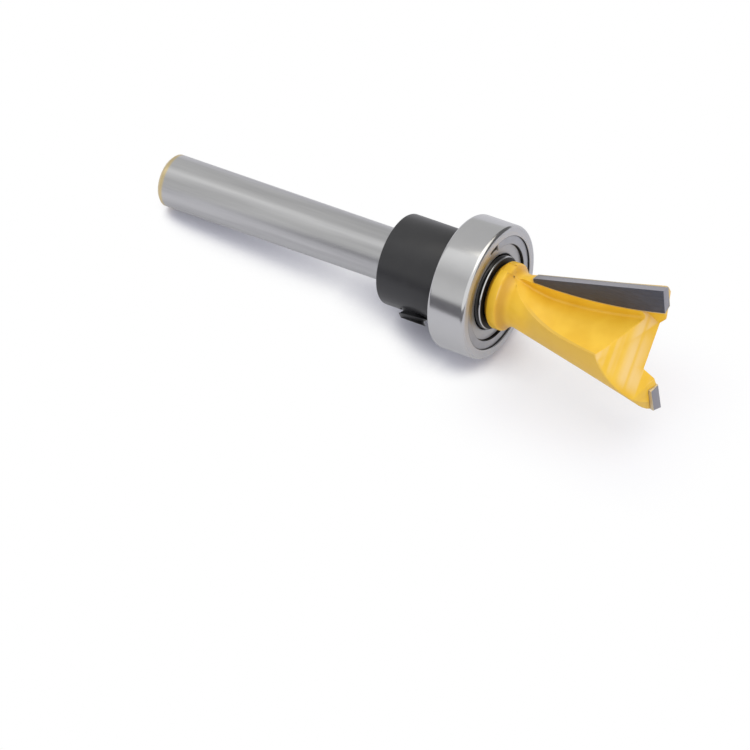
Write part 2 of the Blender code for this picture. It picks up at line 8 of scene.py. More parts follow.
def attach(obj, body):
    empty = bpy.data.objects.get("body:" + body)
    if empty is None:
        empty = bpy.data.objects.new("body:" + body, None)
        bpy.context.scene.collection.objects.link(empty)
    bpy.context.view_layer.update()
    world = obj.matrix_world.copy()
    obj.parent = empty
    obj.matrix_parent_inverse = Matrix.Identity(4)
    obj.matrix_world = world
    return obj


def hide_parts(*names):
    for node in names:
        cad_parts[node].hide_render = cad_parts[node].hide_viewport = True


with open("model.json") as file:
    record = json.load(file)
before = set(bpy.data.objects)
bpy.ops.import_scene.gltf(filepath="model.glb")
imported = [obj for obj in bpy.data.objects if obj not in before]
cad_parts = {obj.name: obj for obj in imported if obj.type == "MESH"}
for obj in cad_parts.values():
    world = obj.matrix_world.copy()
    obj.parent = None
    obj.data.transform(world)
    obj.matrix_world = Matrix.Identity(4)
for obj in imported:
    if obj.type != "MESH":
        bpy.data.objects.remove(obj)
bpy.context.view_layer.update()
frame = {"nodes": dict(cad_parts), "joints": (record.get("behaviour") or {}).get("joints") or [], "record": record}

# Body of the cutter: one bar of steel, turned, milled and ground. Its shank stays bright, with
# a pale gold end, and the hub, the neck and the fluted head are sprayed yellow. Thick paint
# softens every edge of the head, and the grinding of the two gashes at the tip shows through.
# The yellow also holds painted shade: ochre in the recesses and in bands round the hub, and a
# darker tan on the heel lands.
MM = 0.001
DEG = math.pi / 180
MERGE_DISTANCE = MM / 1000
FLAT = 0.2 * DEG
SHARP = 30 * DEG
TOOL_LENGTH = 66.55 * MM
PAINT_EDGE = 0.07 * MM
RIDGE_SETBACK = 1.35 * MM
RIDGE_ROLL = 39.6 * DEG
GASH_SLOPE = 42 * DEG

# Where each finish begins and ends along the tool and across it. The materials count in plain
# millimetres from the end of the shank, and a pair says where a change starts and is complete.
GOLD_END = (1.0, 0.65)
HUB_START = 45.15
# Bands of painted shade behind the hub, before it, and where the neck begins.
HUB_REAR_SHADE = (HUB_START + 0.6, HUB_START + 0.45)
HUB_FRONT_SHADE = (HUB_START + 1.35, HUB_START + 1.75)
NECK_SHADE = (HUB_START + 2.9, HUB_START + 2.0)
NECK_END = 49.6
NECK_RADIUS = 3.2
HEEL_SLOPE = 0.224
HEEL_DEPTH = (0.3, 0.1)
HEEL_START = (NECK_END, NECK_END + 2.5)
STRIPES_PER_MM = 0.75
STRIPE_EDGE = (0.36, 0.64)
GASH_FACING = (0.98, 0.995)
PAINT_DEEP = (0.94, 0.545, 0.018, 1)
PAINT_LIGHT = (1.0, 0.61, 0.032, 1)
PAINT_PALE = (1.0, 0.7, 0.27, 1)
# Darker tan for the heel lands: painted shade.
PAINT_HEEL_SHADE = (0.74, 0.46, 0.06, 1)
PAINT_SHADE = (0.62, 0.3, 0.01, 1)
PAINT_SHADE_REACH = 1.6 * MM
STEEL_DARK = (0.52, 0.52, 0.525, 1)
STEEL_LIGHT = (0.65, 0.65, 0.65, 1)
GOLD_EDGE = (0.8, 0.64, 0.33, 1)

mount = frame["record"]["mounts"][0]
shank_end = Vector(mount["pos_m"])
along_axis = Vector(frame["joints"][0]["axis"])
tool_turn = along_axis.to_track_quat("X", "Z").to_matrix().to_4x4()
tool = Matrix.Translation(shank_end) @ tool_turn


class Value:
    """A number, colour or vector socket of a shader, with Python's operators as Math nodes."""

    def __init__(self, shader, socket):
        self.shader = shader
        self.socket = socket

    def math(self, operation, *others):
        return self.shader.node("Math", {"operation": operation}, dict(enumerate((self, *others))))

    def reflected(self, operation, other):
        return self.shader.node("Math", {"operation": operation}, {0: other, 1: self})

    def __add__(self, other):
        return self.math("ADD", other)

    def __sub__(self, other):
        return self.math("SUBTRACT", other)

    def __rsub__(self, other):
        return self.reflected("SUBTRACT", other)

    def __mul__(self, other):
        return self.math("MULTIPLY", other)

    def __gt__(self, other):
        return self.math("GREATER_THAN", other)

    def __truediv__(self, other):
        return self.math("DIVIDE", other)

    __radd__ = __add__
    __rmul__ = __mul__


class Shader:
    """Node tree of a material or of the world, filled one node at a time."""

    def __init__(self, tree):
        self.tree = tree

    def node(self, kind, settings=None, inputs=None, output=0):
        """Add a node, set it, feed its sockets with values or links, and return one output."""
        made = self.tree.nodes.new("ShaderNode" + kind)
        for name, value in (settings or {}).items():
            if name == "stops":
                ramp = made.color_ramp.elements
                while len(ramp) < len(value):
                    ramp.new(1.0)
                for stop, (place, colour) in zip(ramp, value):
                    stop.position = place
                    stop.color = (*colour, 1.0)
            else:
                setattr(made, name, value)
        for name, value in (inputs or {}).items():
            if isinstance(value, Value):
                self.tree.links.new(value.socket, made.inputs[name])
            else:
                made.inputs[name].default_value = value
        return Value(self, made.outputs[output])

    def coordinates(self, place):
        """Object coordinates in a frame of the object's own, in millimetres."""
        here = self.node("TexCoord", output="Object")
        settings = {"vector_type": "TEXTURE"}
        inputs = {
            "Vector": here,
            "Location": place.translation,
            "Rotation": place.to_euler(),
            "Scale": (MM, MM, MM),
        }
        return self.node("Mapping", settings, inputs)

    def part(self, vector, axis):
        """One part of a vector: 0, 1 or 2."""
        return self.node("SeparateXYZ", None, {"Vector": vector}, axis)

    def dot(self, vector, direction):
        """How far a vector points along a fixed direction."""
        inputs = {0: vector, 1: direction}
        return self.node("VectorMath", {"operation": "DOT_PRODUCT"}, inputs, "Value")

    def stretch(self, vector, scale):
        """A vector with each part scaled."""
        return self.node("VectorMath", {"operation": "MULTIPLY"}, {0: vector, 1: scale})

    def facing(self, place, direction):
        """How far the surface faces a direction, given in a frame of the object's own."""
        normal = self.node("NewGeometry", output="Normal")
        return self.dot(normal, place.to_3x3() @ Vector(direction))

    def from_axis(self, vector):
        """How far a place is from the tool's own axis."""
        across = self.stretch(vector, (0, 1, 1))
        return self.node("VectorMath", {"operation": "LENGTH"}, {0: across}, "Value")

    def noise(self, vector, scale, detail=2.0):
        """Soft noise between 0 and 1."""
        return self.node("TexNoise", None, {"Vector": vector, "Scale": scale, "Detail": detail})

    def tool_marks(self, value, scale, detail=3.0):
        """Noise along one value only, which a tool leaves as parallel lines."""
        settings = {"noise_dimensions": "1D"}
        return self.node("TexNoise", settings, {"W": value, "Scale": scale, "Detail": detail})

    def ramp(self, value, low, high):
        """0 up to one value, 1 past another, and smooth between them."""
        settings = {"interpolation_type": "SMOOTHSTEP"}
        return self.node("MapRange", settings, {"Value": value, "From Min": low, "From Max": high})

    def blend(self, share, first, second):
        """Colour between two colours, by a share."""
        return self.node("Mix", {"data_type": "RGBA"}, {0: share, 6: first, 7: second}, 2)

    def mix(self, share, first, second):
        """Number between two numbers, by a share."""
        return self.node("Mix", {"data_type": "FLOAT"}, {0: share, 2: first, 3: second})

    def bump(self, height, depth, strength):
        """Normal of a surface with this relief, as deep as depth in metres."""
        return self.node("Bump", None, {"Height": height, "Distance": depth, "Strength": strength})


def finish(name, **sockets):
    """New material, and its shader with these constants on its own sockets."""
    material = bpy.data.materials.new(name)
    material.use_nodes = True
    surface = material.node_tree.nodes["Principled BSDF"]
    for socket, value in sockets.items():
        surface.inputs[socket.replace("_", " ")].default_value = value
    return material, Shader(material.node_tree), surface


def feed(shader, surface, **sockets):
    """Link what varies over the surface to the sockets of its shader."""
    for socket, value in sockets.items():
        shader.tree.links.new(value.socket, surface.inputs[socket.replace("_", " ")])


def only(piece):
    """Select one object alone and make it the active one."""
    bpy.ops.object.select_all(action="DESELECT")
    piece.select_set(True)
    bpy.context.view_layer.objects.active = piece


def use_modifier(piece, kind, **settings):
    """Add a modifier with its settings and apply it."""
    only(piece)
    modifier = piece.modifiers.new(kind.title(), kind)
    for name, value in settings.items():
        setattr(modifier, name, value)
    bpy.ops.object.modifier_apply(modifier=modifier.name)


def merged_copy(node, name):
    """Copy of a solid with its loose triangles merged and its flat faces joined."""
    piece = frame["nodes"][node].copy()
    piece.data = piece.data.copy()
    piece.name = name
    bpy.context.scene.collection.objects.link(piece)
    only(piece)
    bpy.ops.object.mode_set(mode="EDIT")
    bpy.ops.mesh.select_all(action="SELECT")
    bpy.ops.mesh.remove_doubles(threshold=MERGE_DISTANCE)
    bpy.ops.mesh.dissolve_limited(angle_limit=FLAT)
    bpy.ops.object.mode_set(mode="OBJECT")
    return piece


def fit(piece, material, body, slot, *nodes):
    """Give a piece its finish and its body, and hide the solids that it stands for."""
    piece.data.materials.clear()
    piece.data.materials.append(material)
    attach(piece, body)
    if nodes:
        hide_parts(*nodes)


def shade(piece):
    """Smooth shading, with sharp edges left sharp."""
    only(piece)
    bpy.ops.object.shade_smooth_by_angle(angle=SHARP)


def soften(piece, width, clamp=True):
    """Round every sharp edge of a piece a little, and shade its faces smooth."""
    use_modifier(
        piece,
        "BEVEL",
        width=width,
        segments=2,
        limit_method="ANGLE",
        angle_limit=SHARP,
        use_clamp_overlap=clamp,
        miter_outer="MITER_ARC",
    )
    use_modifier(piece, "WELD", merge_threshold=MERGE_DISTANCE)
    shade(piece)


cutter = merged_copy("cutter_body", "cutter_steel")
soften(cutter, PAINT_EDGE, clamp=False)

paint, shader, surface = finish("yellow_paint_and_bright_steel", Coat_Roughness=0.2)
place = shader.coordinates(tool)
along = shader.part(place, 0)
painted = along > HUB_START
mottle = shader.noise(place, 0.45)
coat = shader.blend(shader.ramp(mottle, 0.3, 0.75), PAINT_DEEP, PAINT_LIGHT)
ridge = Matrix.Translation((TOOL_LENGTH - RIDGE_SETBACK, 0, 0))
slope = Matrix.Rotation(RIDGE_ROLL, 4, "X") @ Matrix.Rotation(-GASH_SLOPE, 4, "Y")
stripes = []
for turn in (0, math.pi):
    gash = tool @ Matrix.Rotation(turn, 4, "X") @ ridge @ slope
    lines = shader.tool_marks(shader.part(shader.coordinates(gash), 2), STRIPES_PER_MM, 1.0)
    on_gash = shader.ramp(shader.facing(gash, (1, 0, 0)), *GASH_FACING)
    stripes.append(shader.ramp(lines, *STRIPE_EDGE) * on_gash)
striped = stripes[0] + stripes[1]
# Painted shade: the heel lands of the head are darkened to tan.
below_cone = NECK_RADIUS + HEEL_SLOPE * (along - NECK_END) - shader.from_axis(place)
heel_shade = shader.ramp(below_cone, *HEEL_DEPTH) * shader.ramp(along, *HEEL_START)
coat = shader.blend(heel_shade * 0.7, coat, PAINT_HEEL_SHADE)
coat = shader.blend(striped * 0.75, coat, PAINT_PALE)
# Painted shade: ochre where the surface is sheltered, and in bands behind and before the hub.
reach = {"Distance": PAINT_SHADE_REACH}
painted_recess_shade = 1 - shader.node("AmbientOcclusion", {"samples": 6}, reach, "AO")
behind_hub_shade = shader.ramp(along, *HUB_REAR_SHADE)
before_hub_shade = shader.ramp(along, *HUB_FRONT_SHADE) * shader.ramp(along, *NECK_SHADE)
painted_hub_shade = behind_hub_shade * 0.6 + before_hub_shade * 0.7
coat = shader.blend(painted_recess_shade * 0.6 + painted_hub_shade, coat, PAINT_SHADE)
grinding = shader.tool_marks(along, 9.0)
streaks = shader.noise(shader.stretch(place, (0.05, 1.0, 1.0)), 1.1, 3.0)
brightness = shader.ramp(streaks, 0.3, 0.7) * 0.8 + grinding * 0.2
steel = shader.blend(brightness, STEEL_DARK, STEEL_LIGHT)
steel = shader.blend(shader.ramp(along, *GOLD_END) * 0.9, steel, GOLD_EDGE)
peel = shader.noise(place, 2.2) + shader.noise(place, 9.0) * 0.25
relief = shader.mix(painted, grinding * 0.05, peel + striped * 0.35)
feed(
    shader,
    surface,
    Base_Color=shader.blend(painted, steel, coat),
    Metallic=1 - painted,
    Roughness=shader.mix(painted, 0.27 + 0.06 * grinding, 0.38 + 0.1 * mottle),
    Coat_Weight=painted * 0.2,
    Normal=shader.bump(relief, 0.015 * MM, 0.5),
)
fit(cutter, paint, "cutter", "painted_steel", "cutter_body")

# Braze: the silver alloy that fills the joint behind each carbide plate. It shows as a thin
# pale line round the back of the plate, where the excess has been wiped along the seam.
BRAZE_THICKNESS = 0.09 * MM
BRAZE_COLOURS = ((0.62, 0.5, 0.28, 1), (0.8, 0.72, 0.52, 1))
IN_SEAT = 0.75

braze, shader, surface = finish("silver_braze", Metallic=0.8)
place = shader.coordinates(tool)
lumps = shader.noise(place, 3.0, 3.0)
feed(
    shader,
    surface,
    Base_Color=shader.blend(lumps, *BRAZE_COLOURS),
    Roughness=0.35 + lumps * 0.25,
    Normal=shader.bump(lumps, 0.02 * MM, 0.6),
)
for letter, turn in (("a", 0), ("b", math.pi)):
    seam = merged_copy("carbide_tip_" + letter, "braze_seam_" + letter)
    wing = tool_turn.to_3x3() @ Matrix.Rotation(turn, 3, "X")
    seat = [wing @ Vector(way) for way in ((0, 1, 0), (0, 0, -1), (-1, 0, 0))]
    bare = [max(face.normal.dot(way) for way in seat) < IN_SEAT for face in seam.data.polygons]
    # The bare faces alone are selected, and deleted in face mode, so the seat's faces stay.
    bpy.context.tool_settings.mesh_select_mode = (False, False, True)
    for elements in (seam.data.vertices, seam.data.edges):
        elements.foreach_set("select", [False] * len(elements))
    seam.data.polygons.foreach_set("select", bare)
    bpy.ops.object.mode_set(mode="EDIT")
    bpy.ops.mesh.delete(type="FACE")
    bpy.ops.object.mode_set(mode="OBJECT")
    bpy.context.tool_settings.mesh_select_mode = (True, False, False)
    use_modifier(seam, "SOLIDIFY", thickness=BRAZE_THICKNESS, offset=1.0)
    shade(seam)
    fit(seam, braze, "cutter", "painted_steel")

# Carbide tips: sintered plates brazed into their seats and then ground. The rake face stays
# dark, and the relieved flank and the end shine where the wheel has been.
CARBIDE_EDGE = 0.03 * MM
CARBIDE_RAKE = ((0.03, 0.038, 0.06, 1), (0.1, 0.118, 0.165, 1))
CARBIDE_BACK = (0.72, 0.56, 0.24, 1)
CARBIDE_GROUND = ((0.24, 0.24, 0.26, 1), (0.34, 0.33, 0.35, 1))

carbide, shader, surface = finish("ground_carbide", Metallic=0.3)
place = shader.coordinates(tool)
rearwards = shader.facing(tool, (0, 1, 0)) * shader.part(place, 2).math("SIGN")
rake = shader.ramp(rearwards, -0.85, -0.93)
back = shader.ramp(rearwards, 0.85, 0.93)
scratch = shader.noise(shader.stretch(place, (0.7, 4.0, 7.0)), 1.3, 4.0)
dark = shader.blend(scratch, *CARBIDE_RAKE)
bright = shader.blend(scratch, *CARBIDE_GROUND)
feed(
    shader,
    surface,
    Base_Color=shader.blend(back, shader.blend(rake, bright, dark), CARBIDE_BACK),
    Roughness=shader.mix(rake, 0.32, 0.45) + scratch * 0.1,
    Normal=shader.bump(scratch, 0.004 * MM, 0.6),
)
for letter in "ab":
    plate = merged_copy("carbide_tip_" + letter, "carbide_plate_" + letter)
    soften(plate, CARBIDE_EDGE)
    fit(plate, carbide, "cutter", "carbide", "carbide_tip_" + letter)

# Outer ring of the guide bearing: hardened steel, turned, then ground and polished all round.
# Its outside runs along the guide, its edges are rounded, and a groove and a step inside its
# bore hold the snap ring and the shield.
LATHE_SIDES = 144
BEARING_MIDDLE = 42.5 * MM
FINE_EDGE = 0.03 * MM
GROUND_STEEL = ((0.58, 0.58, 0.585, 1), (0.68, 0.68, 0.68, 1))
FACE_STEEL = (0.68, 0.69, 0.72, 1)
# Near black, for painted shade in the gaps of the bearing and on the inner ring's face.
GAP_SHADE_COLOUR = (0.06, 0.058, 0.056, 1)

# Outlines of turned pieces are drawn in plain millimetres: how far along the axis from the
# middle of the piece, and how far from the axis.
BEARING_HALF = 2.5
OUTER_RADIUS = 8.075
OUTER_ROUNDING = 0.5
OUTER_SHOULDER = 6.475
RACE_MIDDLE = 5.625
RACE_RADIUS = 1.25
# Where painted shade lies on the rings, by distance from the axis.
INNER_FACE_SHADE = (4.33, 4.28)
INNER_SEAM_SHADE = (4.4, 4.43)
OUTER_SEAM_SHADE = (6.92, 6.87)


def arc_points(centre, radius, start, end, steps=9):
    """Points along an arc, from one angle in degrees to another."""
    angles = [(start + (end - start) * step / steps) * DEG for step in range(steps + 1)]
    return [(centre[0] + radius * math.cos(a), centre[1] + radius * math.sin(a)) for a in angles]


def mirrored(half):
    """Whole outline of a piece that is the same on both sides of its middle."""
    return half + [(-along, radius) for along, radius in reversed(half)]


def turned(name, middle, outline):
    """Piece made on a lathe: a circle drawn through the corners of an outline."""
    bpy.ops.object.select_all(action="DESELECT")
    (along, radius), *corners = outline
    bpy.ops.mesh.primitive_circle_add(
        vertices=LATHE_SIDES,
        radius=radius * MM,
        location=(middle + along * MM, 0, 0),
        rotation=(0, math.pi / 2, 0),
    )
    piece = bpy.context.object
    piece.name = name
    bpy.ops.object.transform_apply(location=True, rotation=True, scale=True)
    bpy.ops.object.mode_set(mode="EDIT")
    bpy.ops.mesh.select_all(action="SELECT")
    for next_along, next_radius in corners:
        step = ((next_along - along) * MM, 0, 0)
        grown = next_radius / radius
        bpy.ops.mesh.extrude_region_move(TRANSFORM_OT_translate={"value": step})
        bpy.ops.transform.resize(
            value=(1, grown, grown), center_override=(0, 0, 0), orient_type="GLOBAL"
        )
        along, radius = next_along, next_radius
    bpy.ops.mesh.select_non_manifold()
    bpy.ops.mesh.bridge_edge_loops()
    close_up(piece)
    settle(piece, tool)
    return piece


def close_up(piece):
    """Leave edit mode with all faces pointing outwards."""
    bpy.ops.mesh.select_all(action="SELECT")
    bpy.ops.mesh.normals_make_consistent(inside=False)
    bpy.ops.object.mode_set(mode="OBJECT")


def settle(piece, place):
    """Put a piece in its place, in its mesh, so that its object stays at the origin."""
    only(piece)
    piece.matrix_world = place
    bpy.ops.object.transform_apply(location=True, rotation=True, scale=True)


polished, shader, surface = finish("polished_bearing_steel", Metallic=1.0)
place = shader.coordinates(tool)
along = shader.part(place, 0)
radius = shader.from_axis(place)
end_on = shader.facing(tool, (1, 0, 0))
face_on = shader.ramp(end_on * end_on, 0.7, 0.95)
fine_lines = shader.tool_marks(along + radius, 14.0)
wide_lines = shader.tool_marks(along + radius, 3.0, 1.0)
worn = shader.noise(place, 0.6)
ground = shader.blend(fine_lines * 0.6 + worn * 0.4, *GROUND_STEEL)
ground = shader.blend(face_on, ground, FACE_STEEL)
# Painted shade: the inner ring's face, and all between the two rings, are darkened.
ground = shader.blend(shader.ramp(radius, *INNER_FACE_SHADE), ground, GAP_SHADE_COLOUR)
seam_shade = shader.ramp(radius, *OUTER_SEAM_SHADE) * shader.ramp(radius, *INNER_SEAM_SHADE)
feed(
    shader,
    surface,
    Base_Color=shader.blend(seam_shade, ground, GAP_SHADE_COLOUR),
    Roughness=shader.mix(face_on, 0.12, 0.48) + fine_lines * 0.06 + worn * 0.05,
    Normal=shader.bump(fine_lines * 0.4 + wide_lines * face_on, 0.004 * MM, 0.5),
)
rounding_centre = (OUTER_ROUNDING - BEARING_HALF, OUTER_RADIUS - OUTER_ROUNDING)
race_start = math.degrees(math.asin((OUTER_SHOULDER - RACE_MIDDLE) / RACE_RADIUS))
rear_half = arc_points(rounding_centre, OUTER_ROUNDING, 90, 180)
rear_half += [
    (-BEARING_HALF, 6.99),
    (-2.44, 6.93),
    (-2.44, 6.87),
    (-2.395, 6.825),
    (-2.35, 6.825),
    (-2.35, 7.175),
    (-1.975, 7.175),
    (-1.975, 6.825),
    (-1.65, 6.825),
    (-1.65, OUTER_SHOULDER),
]
rear_half += arc_points((0, RACE_MIDDLE), RACE_RADIUS, 180 - race_start, 90)[:-1]
outer_ring = turned("bearing_outer_ring", BEARING_MIDDLE, mirrored(rear_half))
soften(outer_ring, FINE_EDGE)
fit(outer_ring, polished, "bearing_outer", "bearing_steel", "outer_ring")

# Inner ring of the bearing: the same steel, ground to slide on the shank. Its narrow face is
# darkened with painted shade. It touches the hub in front, and the collar behind.
rear_half = [
    (-2.25, 3.225),
    (-BEARING_HALF, 3.475),
    (-BEARING_HALF, 4.3),
    (-2.375, 4.425),
    (-1.65, 4.425),
    (-1.65, 4.775),
]
rear_half += arc_points((0, RACE_MIDDLE), RACE_RADIUS, 180 + race_start, 270)[:-1]
inner_ring = turned("bearing_inner_ring", BEARING_MIDDLE, mirrored(rear_half))
soften(inner_ring, FINE_EDGE)
fit(inner_ring, polished, "cutter", "bearing_steel", "inner_ring")

# Shields: thin sheet steel, pressed with a shallow step and a lip turned in at the bore. Each
# one sits on the step inside the outer ring and clears the inner ring by a hair.
SHEET_STEEL = ((0.54, 0.55, 0.57, 1), (0.64, 0.65, 0.67, 1))
LIP_SEAM_SHADE = (4.6, 4.56)
STEP_SEAM_SHADE = (5.7, 5.76)

shield_steel, shader, surface = finish("pressed_shield_steel", Metallic=1.0)
place = shader.coordinates(tool)
radius = shader.from_axis(place)
rolling = shader.noise(place, 1.2, 3.0)
circles = shader.tool_marks(radius, 8.0)
# Painted shade: dark rings where the shield runs under the snap ring and at its lip by the inner ring.
seam_shade = shader.ramp(radius, *STEP_SEAM_SHADE) + shader.ramp(radius, *LIP_SEAM_SHADE)
feed(
    shader,
    surface,
    Base_Color=shader.blend(seam_shade, shader.blend(rolling, *SHEET_STEEL), GAP_SHADE_COLOUR),
    Roughness=0.42 + rolling * 0.12,
    Normal=shader.bump(circles * 0.5 + rolling * 0.5, 0.005 * MM, 0.5),
)
for side, end in ((-1, "rear"), (1, "front")):
    sheet = [
        (1.95, 6.775),
        (1.95, 5.75),
        (1.92, 5.7),
        (1.92, 4.72),
        (1.88, 4.62),
        (1.79, 4.56),
        (1.7, 4.545),
        (1.7, 4.6),
        (1.74, 4.75),
        (1.74, 6.775),
    ]
    outline = [(side * along, across) for along, across in sheet]
    shield = turned("bearing_shield_" + end, BEARING_MIDDLE, outline)
    soften(shield, FINE_EDGE)
    fit(shield, shield_steel, "bearing_outer", "shield_steel", "shield_" + end)

# Snap rings: flat spring wire, bent round until a small gap is left between its ends. Each
# ring is squeezed into the groove of the outer ring and holds the shield in place.
SNAP_RING_MIDDLE = 2.15 * MM
SNAP_RING_THICKNESS = 0.3 * MM
SNAP_RING_WIDTH = 1.3 * MM
SNAP_RING_RADIUS = 6.475 * MM
SNAP_RING_GAP = 14 * DEG
SNAP_RING_GAP_PLACE = 73 * DEG
SNAP_RING_EDGE = 0.06 * MM
SNAP_RING_SEAM_SHADE = (5.88, 5.85)
WIRE_STEEL = ((0.43, 0.44, 0.47, 1), (0.55, 0.56, 0.59, 1))

spring, shader, surface = finish("drawn_spring_wire", Metallic=1.0)
place = shader.coordinates(tool)
radius = shader.from_axis(place)
drawn = shader.tool_marks(radius, 11.0)
wire_colour = shader.blend(shader.noise(place, 0.9), *WIRE_STEEL)
# Painted shade darkens the inner edge of the ring, beside the shield.
feed(
    shader,
    surface,
    Base_Color=shader.blend(shader.ramp(radius, *SNAP_RING_SEAM_SHADE), wire_colour, GAP_SHADE_COLOUR),
    Roughness=0.34 + drawn * 0.1,
    Normal=shader.bump(drawn, 0.006 * MM, 0.5),
)
for side, end in ((-1, "rear"), (1, "front")):
    bpy.ops.object.select_all(action="DESELECT")
    middle = BEARING_MIDDLE + side * SNAP_RING_MIDDLE
    bpy.ops.mesh.primitive_plane_add(size=1, location=(middle, SNAP_RING_RADIUS, 0))
    snap_ring = bpy.context.object
    snap_ring.name = "snap_ring_wire_" + end
    snap_ring.scale = (SNAP_RING_THICKNESS, SNAP_RING_WIDTH, 1)
    bpy.ops.object.transform_apply(location=True, rotation=True, scale=True)
    bpy.ops.object.mode_set(mode="EDIT")
    bpy.ops.mesh.select_all(action="SELECT")
    bpy.ops.mesh.spin(
        steps=LATHE_SIDES,
        angle=2 * math.pi - SNAP_RING_GAP,
        center=(0, 0, 0),
        axis=(1, 0, 0),
    )
    close_up(snap_ring)
    settle(snap_ring, tool @ Matrix.Rotation(SNAP_RING_GAP_PLACE + SNAP_RING_GAP / 2, 4, "X"))
    soften(snap_ring, SNAP_RING_EDGE)
    fit(snap_ring, spring, "bearing_outer", "spring_steel", "snap_ring_" + end)

# Balls and their cage: eight polished balls, spaced by a pressed and tinned steel crown. They
# are hidden behind the shields, and they keep the shapes of the solids.
BALL_STEEL = ((0.66, 0.66, 0.67, 1), (0.74, 0.74, 0.74, 1))
TINNED_STEEL = ((0.4, 0.36, 0.29, 1), (0.52, 0.48, 0.4, 1))

ball_steel, shader, surface = finish("mirror_ball_steel", Metallic=1.0)
place = shader.coordinates(tool)
haze = shader.noise(place, 2.5)
feed(
    shader,
    surface,
    Base_Color=shader.blend(haze, *BALL_STEEL),
    Roughness=0.04 + haze * 0.05,
)
cage_steel, shader, surface = finish("pressed_cage_steel", Metallic=1.0)
place = shader.coordinates(tool)
pressing = shader.noise(place, 1.6, 3.0)
feed(
    shader,
    surface,
    Base_Color=shader.blend(pressing, *TINNED_STEEL),
    Roughness=0.3 + pressing * 0.15,
    Normal=shader.bump(pressing, 0.01 * MM, 0.5),
)
for name, node in frame["nodes"].items():
    if name.startswith("ball_") or name == "cage":
        node.data.materials.clear()
        node.data.materials.append(cage_steel if name == "cage" else ball_steel)

# Lock collar: a steel sleeve with a black oxide finish, turned and bored, with a tapped hole
# on one side. It is pushed up against the bearing and clamped there.
COLLAR_MIDDLE = 35.7 * MM
COLLAR_EDGE = 0.05 * MM
SCREW_TURN = 129.6 * DEG
HOLE_RADIUS = 1.83 * MM
HOLE_SIDES = 48
HOLE_BOTTOM = 2.75 * MM
DRILL_LENGTH = 5.5 * MM
BLACK_OXIDE = ((0.034, 0.034, 0.0345, 1), (0.046, 0.046, 0.046, 1))

# Outline of the collar, in plain millimetres as above.
COLLAR_HALF = 4.05
COLLAR_ROUNDING = 0.25
COLLAR_RADIUS = 5.5

oxide, shader, surface = finish("black_oxide", Metallic=0.25)
place = shader.coordinates(tool)
turning = shader.tool_marks(shader.part(place, 0), 7.0)
smoke = shader.noise(place, 0.5, 3.0)
grain = shader.noise(place, 14.0)
feed(
    shader,
    surface,
    Base_Color=shader.blend(smoke, *BLACK_OXIDE),
    Roughness=0.26 + smoke * 0.1 + grain * 0.04,
    Normal=shader.bump(turning * 0.4 + grain * 0.6, 0.004 * MM, 0.6),
)
rounding_centre = (COLLAR_ROUNDING - COLLAR_HALF, COLLAR_RADIUS - COLLAR_ROUNDING)
rear_half = [(-3.8, 3.225), (-COLLAR_HALF, 3.475), (-COLLAR_HALF, 5.25)]
rear_half += arc_points(rounding_centre, COLLAR_ROUNDING, 180, 90, 4)[1:]
collar = turned("lock_collar_sleeve", COLLAR_MIDDLE, mirrored(rear_half))
screw_turn = Matrix.Rotation(SCREW_TURN, 4, "X")
screw_place = tool @ Matrix.Translation((COLLAR_MIDDLE, 0, 0)) @ screw_turn


def bore(piece, radius, corners, bottom):
    """Sink a round or a six-sided hole where the screw goes, from outside down to its bottom."""
    bpy.ops.object.select_all(action="DESELECT")
    bpy.ops.mesh.primitive_cylinder_add(vertices=corners, radius=radius, depth=DRILL_LENGTH)
    drill = bpy.context.object
    settle(drill, screw_place @ Matrix.Translation((0, 0, bottom + DRILL_LENGTH / 2)))
    use_modifier(piece, "BOOLEAN", object=drill, operation="DIFFERENCE", solver="EXACT")
    bpy.data.objects.remove(drill)


bore(collar, HOLE_RADIUS, HOLE_SIDES, HOLE_BOTTOM)
soften(collar, COLLAR_EDGE)
fit(collar, oxide, "cutter", "black_oxide", "lock_collar")

# Grub screw: blackened alloy steel with a rolled thread, a hexagon socket at its outer end
# and a cup point that bites into the shank. It is turned in until the collar holds.
THREAD_PITCH = 0.79 * MM
THREAD_TOP = 1.75 * MM
THREAD_DEPTH = 0.42 * MM
THREAD_TURNS = 7
THREAD_STEPS = 40
SCREW_LOW = 3.275 * MM
SCREW_HIGH = 6.4 * MM
SOCKET_RADIUS = 0.924 * MM
SOCKET_DEPTH = 1.3 * MM

# One tooth of the thread is a triangle whose base is taken away. A circle of three corners and
# radius 1 is 1.5 high and has sides as long as the root of 3, and is stretched to the tooth.
bpy.ops.object.select_all(action="DESELECT")
bpy.ops.mesh.primitive_circle_add(vertices=3, radius=1)
screw = bpy.context.object
screw.name = "grub_screw_thread"
tooth = Matrix((
    (0, THREAD_DEPTH / 1.5, 0, THREAD_TOP - THREAD_DEPTH / 1.5),
    (0, 0, 1, 0),
    (THREAD_PITCH / math.sqrt(3), 0, 0, SCREW_LOW - THREAD_PITCH),
    (0, 0, 0, 1),
))
settle(screw, tooth)
bpy.ops.object.mode_set(mode="EDIT")
bpy.ops.mesh.select_all(action="DESELECT")
bpy.ops.object.mode_set(mode="OBJECT")
for edge in screw.data.edges:
    ends = [screw.data.vertices[corner].co for corner in edge.vertices]
    edge.select = max(end.x for end in ends) < THREAD_TOP - THREAD_DEPTH / 2
bpy.ops.object.mode_set(mode="EDIT")
bpy.ops.mesh.select_mode(type="EDGE")
bpy.ops.mesh.delete(type="EDGE")
bpy.ops.mesh.select_mode(type="VERT")
bpy.ops.object.mode_set(mode="OBJECT")
use_modifier(
    screw,
    "SCREW",
    screw_offset=THREAD_PITCH,
    iterations=THREAD_TURNS,
    steps=THREAD_STEPS,
    render_steps=THREAD_STEPS,
)
bpy.ops.object.mode_set(mode="EDIT")
bpy.ops.mesh.select_all(action="SELECT")
